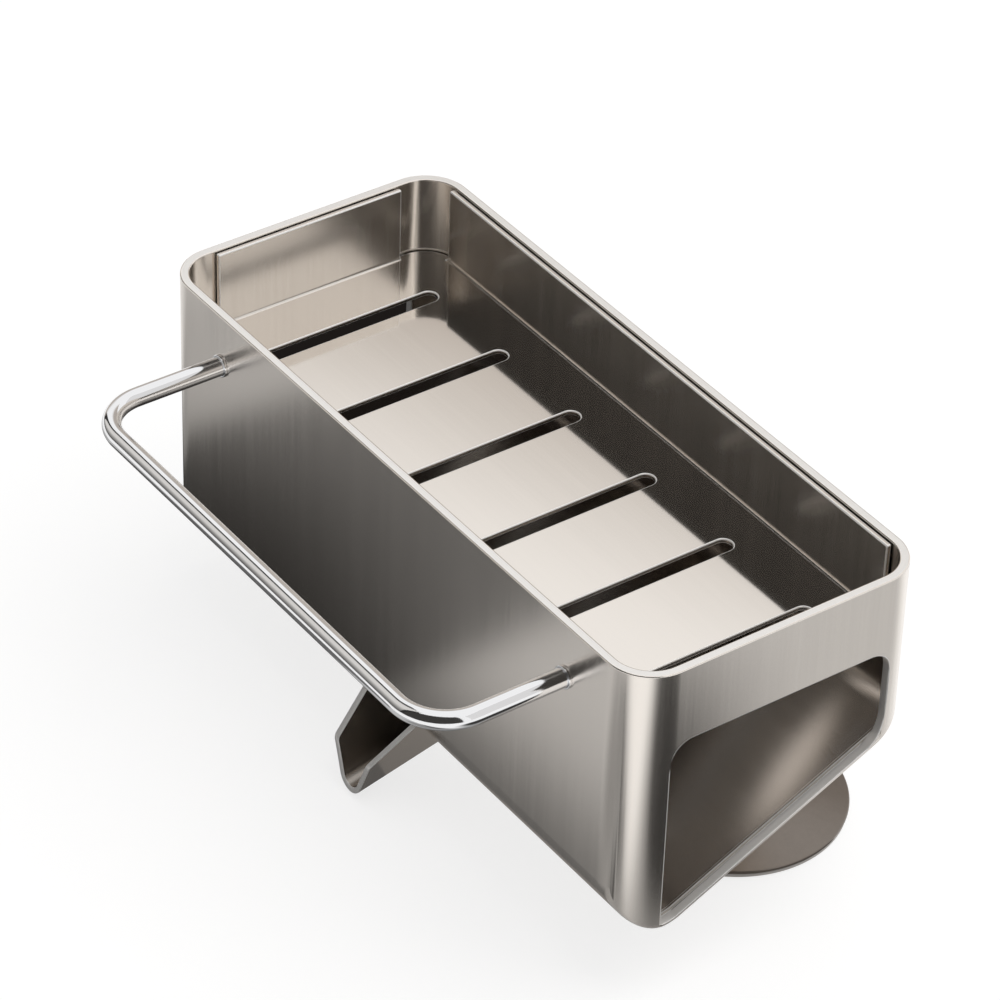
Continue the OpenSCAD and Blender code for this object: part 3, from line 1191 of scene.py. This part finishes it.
def even_patch(strength):
    """A patch that dims a whole card evenly"""
    return Patch((0.0, 0.0, 0.0), (ENDLESS, ENDLESS, ENDLESS), (0.9, 1.0), strength)


def seen_rays(tree, height):
    """One for rays of the camera, of mirrors and of glass, and nothing for others"""
    path = add_node(tree, "ShaderNodeLightPath", (-900, height)).outputs
    camera, glossy = path["Is Camera Ray"], path["Is Glossy Ray"]
    first = calculate(tree, "MAXIMUM", camera, glossy, (-650, height))
    clear = path["Is Transmission Ray"]
    return calculate(tree, "MAXIMUM", first, clear, (-450, height))


def floor_material(glow):
    """Pale floor that looks white to the camera and keeps the object's shadow"""
    material = new_material("studio_floor")
    tree = material.node_tree
    strength = calculate(tree, "MULTIPLY", seen_rays(tree, 200), glow, (-250, 200))
    light = add_node(
        tree, "ShaderNodeEmission", (0, 150), {"Color": WHITE, "Strength": strength}
    )
    matt = add_node(
        tree, "ShaderNodeBsdfDiffuse", (0, -100), {"Color": (0.36, 0.36, 0.36, 1.0)}
    )
    shaders = {0: light.outputs[0], 1: matt.outputs[0]}
    show(tree, add_node(tree, "ShaderNodeAddShader", (250, 0), shaders))
    return material


def world_light(fill):
    """Even light from all round, white where the camera and the metals look at it"""
    world = bpy.data.worlds.new("studio")
    bpy.context.scene.world = world
    world.use_nodes = True
    tree = world.node_tree
    tree.nodes.clear()
    strength = map_range(tree, seen_rays(tree, 0), (-250, 0), end=(fill, 1.0))
    light = add_node(
        tree, "ShaderNodeBackground", (0, 0), {"Color": WHITE, "Strength": strength}
    )
    show(tree, light, "ShaderNodeOutputWorld")


def soft_lamp(power):
    """A large square lamp high behind the right end, aimed at the object"""
    lamp = bpy.data.lights.new("overhead_softbox", "AREA")
    lamp.shape = "SQUARE"
    lamp.size = 1.6
    lamp.energy = power
    lamp.color = (1.0, 0.985, 0.965)
    overhead = add_object("overhead_softbox", lamp)
    overhead.location = (0.5, 0.6, 1.9)
    overhead.rotation_mode = "QUATERNION"
    overhead.rotation_quaternion = (-overhead.location).to_track_quat("-Z", "Y")
    overhead.visible_glossy = False


def glowing_sheet(name, corners, colour):
    """A sheet with a plain painted light or shade of its own, and the Mix that makes it
    clear
    """
    sheet = mesh_object(name, corners, [list(range(len(corners)))])
    material = new_material(name)
    tree = material.node_tree
    light = add_node(tree, "ShaderNodeEmission", (-100, 150), {"Color": (*colour, 1.0)})
    clear = add_node(tree, "ShaderNodeBsdfTransparent", (-100, 0))
    shaders = {1: light.outputs[0], 2: clear.outputs[0]}
    mix = add_node(tree, "ShaderNodeMixShader", (100, 0), shaders)
    show(tree, mix)
    dress(sheet, material)
    return sheet, tree, mix.inputs[0]


def soft_patch(tree, place, patch, height):
    """How much light a patch leaves: its share of clearness at each point of a card"""
    own = add_node(
        tree,
        "ShaderNodeMapping",
        (-900, height),
        {
            "Vector": place,
            "Location": patch.centre,
            "Rotation": (math.radians(patch.turn), 0.0, 0.0),
            "Scale": patch.radii,
        },
        vector_type="TEXTURE",
    ).outputs["Vector"]
    far = add_node(
        tree, "ShaderNodeVectorMath", (-700, height), {0: own}, operation="LENGTH"
    ).outputs["Value"]
    return map_range(
        tree,
        far,
        (-500, height),
        start=patch.fade,
        end=(1.0 - patch.strength, 1.0),
        interpolation_type="SMOOTHSTEP",
    )


def painted_reflection_card(name, corners, glow, patches, tint=PAINTED_REFLECTION_TINT):
    """A card of painted reflections, with soft patches of painted light or shade, that
    only the metals see
    """
    colour = [glow * share for share in tint]
    card, tree, clearness = glowing_sheet(name, corners, colour)
    place = add_node(tree, "ShaderNodeTexCoord", (-1100, 0)).outputs["Object"]
    kept = None
    for number, patch in enumerate(patches):
        height = -250 * number
        share = soft_patch(tree, place, patch, height)
        if kept is not None:
            share = calculate(tree, "MULTIPLY", kept, share, (-300, height))
        kept = share
    tree.links.new(kept, clearness)
    for ray in ("camera", "diffuse", "shadow", "transmission", "volume_scatter"):
        setattr(card, "visible_" + ray, False)


def painted_shade_flag(name, corners):
    """A black sheet of painted shade in a window's opening, seen only from inside"""
    flag, tree, clearness = glowing_sheet(name, corners, (0.012, 0.010, 0.009))
    faces = add_node(tree, "ShaderNodeNewGeometry", (-400, 0))
    tree.links.new(faces.outputs["Backfacing"], clearness)
    flag.visible_shadow = False
    flag.visible_diffuse = False


def painted_floor_cards():
    """Cards on the floor and under the body: painted shade of the floor round the
    object, and painted light under the body, which only the metals see
    """
    painted_reflection_card(
        "floor_shade_card",
        flat_corners(-0.6, -0.6, 0.6, 0.6, 0.4 * MM),
        glow=0.02,
        patches=[floor_patch(*row) for row in FLOOR_PAINTED_SHADE],
    )
    painted_reflection_card(
        "under_body_card",
        flat_corners(-0.118, -0.033, 0.118, 0.060, 0.8 * MM),
        glow=0.25,
        patches=[floor_patch(0.118, 0.01, 0.20, 0.12, (0.40, 1.0), 1.0)],
    )


def painted_room_cards():
    """Upright cards of painted reflection round the object: a painted dark or dim room
    that only the metals see
    """
    painted_reflection_card(
        "left_front_card",
        upright_corners((-1.6, 0.0), (-0.2, -1.6), 0.05, 3.4),
        glow=0.02,
        patches=[
            even_patch(0.985),
            Patch((-1.15, -0.50, 0.75), (0.45, 0.45, 0.45), (0.2, 1.0), 1.0),
        ],
    )
    painted_reflection_card(
        "right_front_card",
        upright_corners((-0.2, -1.6), (1.8, -0.2), 0.05, 3.4),
        glow=0.05,
        patches=[even_patch(1.0)],
    )
    painted_reflection_card(
        "right_back_card",
        upright_corners((0.4, 1.7), (1.9, 0.2), 0.2, 2.4),
        glow=0.30,
        patches=[even_patch(0.30)],
        tint=(1.0, 0.93, 0.86),
    )
    middle, radii = (-0.75, 0.268, -0.298), (ENDLESS, ENDLESS, 1.0)
    painted_reflection_card(
        "left_back_card",
        upright_corners((-0.75, -0.1), (-0.75, 1.8), 0.05, 1.6),
        glow=0.48,
        patches=[Patch(middle, radii, (0.50, 0.68), strength=1.0, turn=42)],
        tint=(1.0, 0.90, 0.81),
    )


def painted_near_cards():
    """Small cards in front of the towel bar and under the tray: a painted reflection
    for the bar, and a painted streak of light that the drip floor mirrors
    """
    low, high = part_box("towel_bar")
    level = (low.z + high.z) / 2
    front = low.y - 14 * MM
    start, end = (-0.22, front), (high.x - 18 * MM, front)
    middle, radii = (0.0, 0.0, level + 0.042), (ENDLESS, ENDLESS, 0.045)
    painted_reflection_card(
        "bar_front_card",
        upright_corners(start, end, level - 0.03, level + 0.09),
        glow=0.74,
        patches=[Patch(middle, radii, (0.45, 1.0), strength=1.0)],
        tint=(1.0, 0.97, 0.93),
    )
    painted_reflection_card(
        "under_tray_card",
        flat_corners(0.045, -0.030, 0.110, 0.060, 86.8 * MM),
        glow=0.85,
        patches=[
            floor_patch(0.078, 0.022, 0.007, 0.032, (0.0, 1.0), 0.80),
            even_patch(0.045),
        ],
    )


def painted_window_shade():
    """A flag of painted shade in each window's opening, with its lower edge along the
    sloping sill
    """
    low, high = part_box("outer_shell")
    front, back = low.y + 11.5 * MM, high.y - 10 * MM
    sill_front, sill_back, top = 23.3 * MM, 59.3 * MM, 91.5 * MM
    depth = 0.6 * MM
    opening = [(front, sill_front), (back, sill_back), (back, top), (front, top)]
    left, right = low.x + depth, high.x - depth
    painted_shade_flag("left_window_flag", [(left, y, z) for y, z in opening])
    painted_shade_flag("right_window_flag", [(right, y, z) for y, z in reversed(opening)])


def photo_camera():
    """The camera at the photograph's viewing angle"""
    view = bpy.data.cameras.new("photo_camera")
    view.lens = LENS
    view.sensor_width = 36.0
    view.clip_start = 0.05
    view.clip_end = 30.0
    camera = add_object("photo_camera", view)
    ahead = Vector(
        (
            math.sin(YAW) * math.cos(PITCH),
            math.cos(YAW) * math.cos(PITCH),
            -math.sin(PITCH),
        )
    )
    level = Vector((math.cos(YAW), -math.sin(YAW), 0.0))
    upright = level.cross(ahead)
    across = level * math.cos(ROLL) + upright * math.sin(ROLL)
    up = upright * math.cos(ROLL) - level * math.sin(ROLL)
    turn = Matrix((across, up, -ahead)).transposed()
    camera.matrix_world = Matrix.Translation(EYE) @ turn.to_4x4()
    bpy.context.scene.camera = camera


class OBJECT_OT_stage(bpy.types.Operator):
    """Floor, soft light, cards of painted reflection, light and shade, and the camera
    """

    bl_idname = "sponge_holder.stage"
    bl_label = "Stage"

    def execute(self, context):
        studio = context.scene.studio
        reach = 4.0
        corners = flat_corners(-reach, -reach, reach, reach, 0.0)
        floor = mesh_object("studio_floor", corners, [[0, 1, 2, 3]])
        dress(floor, floor_material(studio.floor_glow))
        world_light(studio.fill)
        soft_lamp(studio.lamp)
        painted_floor_cards()
        painted_room_cards()
        painted_near_cards()
        painted_window_shade()
        photo_camera()
        context.scene.view_settings.view_transform = "Standard"
        return {"FINISHED"}


# Panel and classes


class VIEW3D_PT_sponge_holder(bpy.types.Panel):
    """Buttons for each piece, and all settings"""

    bl_label = "Sponge Holder"
    bl_idname = "VIEW3D_PT_sponge_holder"
    bl_space_type = "VIEW_3D"
    bl_region_type = "UI"
    bl_category = "Sponge Holder"

    def draw(self, context):
        column = self.layout.column()
        for operator in OPERATORS:
            column.operator(operator.bl_idname)
        scene = context.scene
        for group in (scene.finish, scene.tray, scene.bar, scene.studio):
            column.separator()
            for name in group.bl_rna.properties.keys():
                if name not in ("rna_type", "name"):
                    column.prop(group, name)


OPERATORS = (
    OBJECT_OT_body_shell,
    OBJECT_OT_drip_floor,
    OBJECT_OT_drain_spout,
    OBJECT_OT_slotted_tray,
    OBJECT_OT_towel_bar,
    OBJECT_OT_feet,
    OBJECT_OT_carried_parts,
    OBJECT_OT_stage,
)
CLASSES = (
    FinishSettings,
    TraySettings,
    BarSettings,
    StudioSettings,
    *OPERATORS,
    VIEW3D_PT_sponge_holder,
)


def register():
    for kind in CLASSES:
        bpy.utils.register_class(kind)
    bpy.types.Scene.finish = bpy.props.PointerProperty(type=FinishSettings)
    bpy.types.Scene.tray = bpy.props.PointerProperty(type=TraySettings)
    bpy.types.Scene.bar = bpy.props.PointerProperty(type=BarSettings)
    bpy.types.Scene.studio = bpy.props.PointerProperty(type=StudioSettings)


def unregister():
    del bpy.types.Scene.studio
    del bpy.types.Scene.bar
    del bpy.types.Scene.tray
    del bpy.types.Scene.finish
    for kind in reversed(CLASSES):
        bpy.utils.unregister_class(kind)


def main():
    register()
    bpy.ops.sponge_holder.body_shell()
    bpy.ops.sponge_holder.drip_floor()
    bpy.ops.sponge_holder.drain_spout()
    bpy.ops.sponge_holder.slotted_tray()
    bpy.ops.sponge_holder.towel_bar()
    bpy.ops.sponge_holder.feet()
    bpy.ops.sponge_holder.carried_parts()
    bpy.ops.sponge_holder.stage()


if __name__ == "__main__":
    main()
